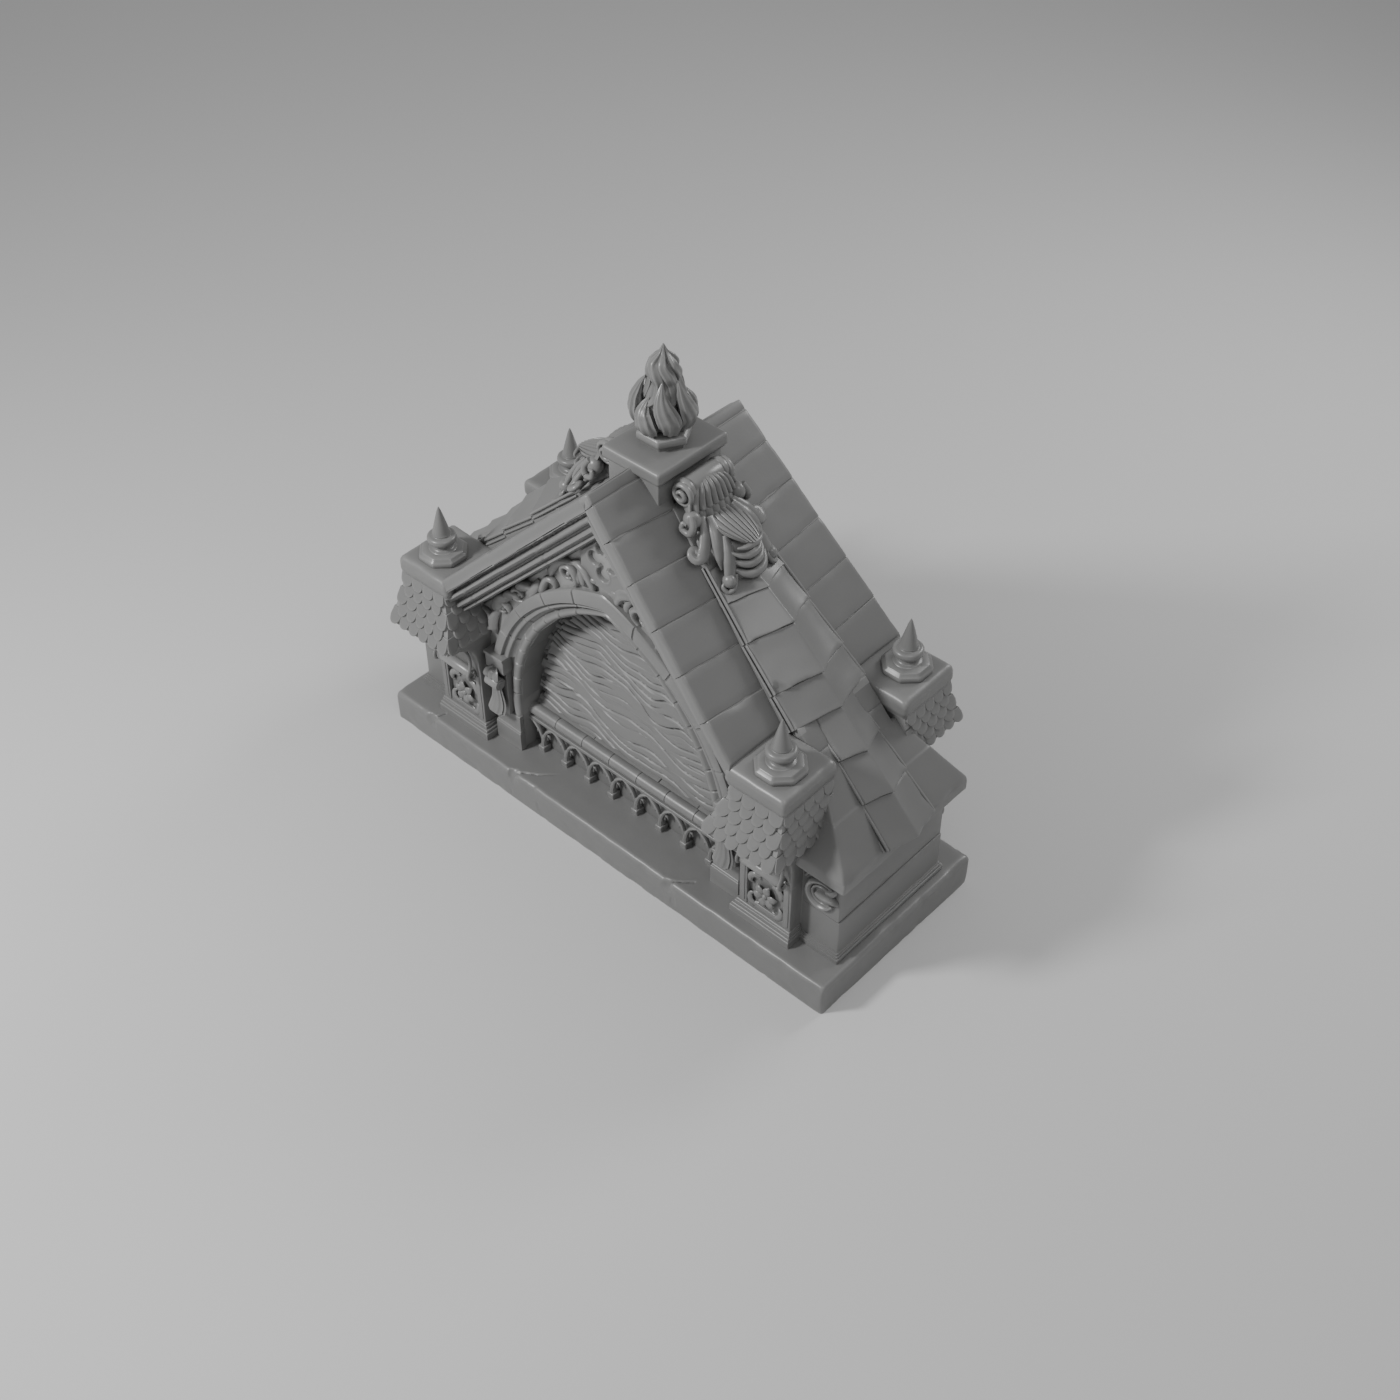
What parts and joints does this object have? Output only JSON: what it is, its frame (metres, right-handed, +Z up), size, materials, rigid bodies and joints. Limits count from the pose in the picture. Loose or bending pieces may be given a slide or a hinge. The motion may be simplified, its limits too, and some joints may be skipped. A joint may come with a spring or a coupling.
{
  "type": "gable vent",
  "caption": "Free-standing carved stone gable with a boarded pointed-arch recess, scale-clad piers, ribbed saddle roof, acanthus brackets and a flame finial.",
  "frame": {"origin": "centre of the underside of the base slab", "axes": "+X along the front, +Y from front to back, +Z up; the front gable faces -Y"},
  "size_m": [3.117, 1.402, 2.742],
  "materials": {
    "carved_stone": "satin",
    "boards": "satin"
  },
  "bodies": {
    "root": {"acanthus_left": "carved_stone", "acanthus_right": "carved_stone", "arcade_back": "carved_stone", "arcade_front": "carved_stone", "archivolt_back": "carved_stone", "archivolt_front": "carved_stone", "base_slab": "carved_stone", "boards_back": "boards", "boards_front": "boards", "cap_back_left": "carved_stone", "cap_back_right": "carved_stone", "cap_front_left": "carved_stone", "cap_front_right": "carved_stone", "coping_back_left": "carved_stone", "coping_back_right": "carved_stone", "coping_front_left": "carved_stone", "coping_front_right": "carved_stone", "cornice_back_left": "carved_stone", "cornice_back_right": "carved_stone", "cornice_front_left": "carved_stone", "cornice_front_right": "carved_stone", "eave_roof_left": "carved_stone", "eave_roof_right": "carved_stone", "finial_back_left": "carved_stone", "finial_back_right": "carved_stone", "finial_front_left": "carved_stone", "finial_front_right": "carved_stone", "flame_finial": "carved_stone", "gable_body": "carved_stone", "jamb_back_left": "carved_stone", "jamb_back_right": "carved_stone", "jamb_front_left": "carved_stone", "jamb_front_right": "carved_stone", "pier_back_left": "carved_stone", "pier_back_right": "carved_stone", "pier_front_left": "carved_stone", "pier_front_right": "carved_stone", "rib_tile_left_1": "carved_stone", "rib_tile_left_2": "carved_stone", "rib_tile_left_3": "carved_stone", "rib_tile_left_4": "carved_stone", "rib_tile_left_5": "carved_stone", "rib_tile_left_6": "carved_stone", "rib_tile_right_1": "carved_stone", "rib_tile_right_2": "carved_stone", "rib_tile_right_3": "carved_stone", "rib_tile_right_4": "carved_stone", "rib_tile_right_5": "carved_stone", "rib_tile_right_6": "carved_stone", "side_block_left": "carved_stone", "side_block_right": "carved_stone", "sill_back": "carved_stone", "sill_front": "carved_stone", "skirt_back_left": "carved_stone", "skirt_back_right": "carved_stone", "skirt_front_left": "carved_stone", "skirt_front_right": "carved_stone", "spandrel_back": "carved_stone", "spandrel_front": "carved_stone", "top_cap": "carved_stone"}
  },
  "joints": []
}
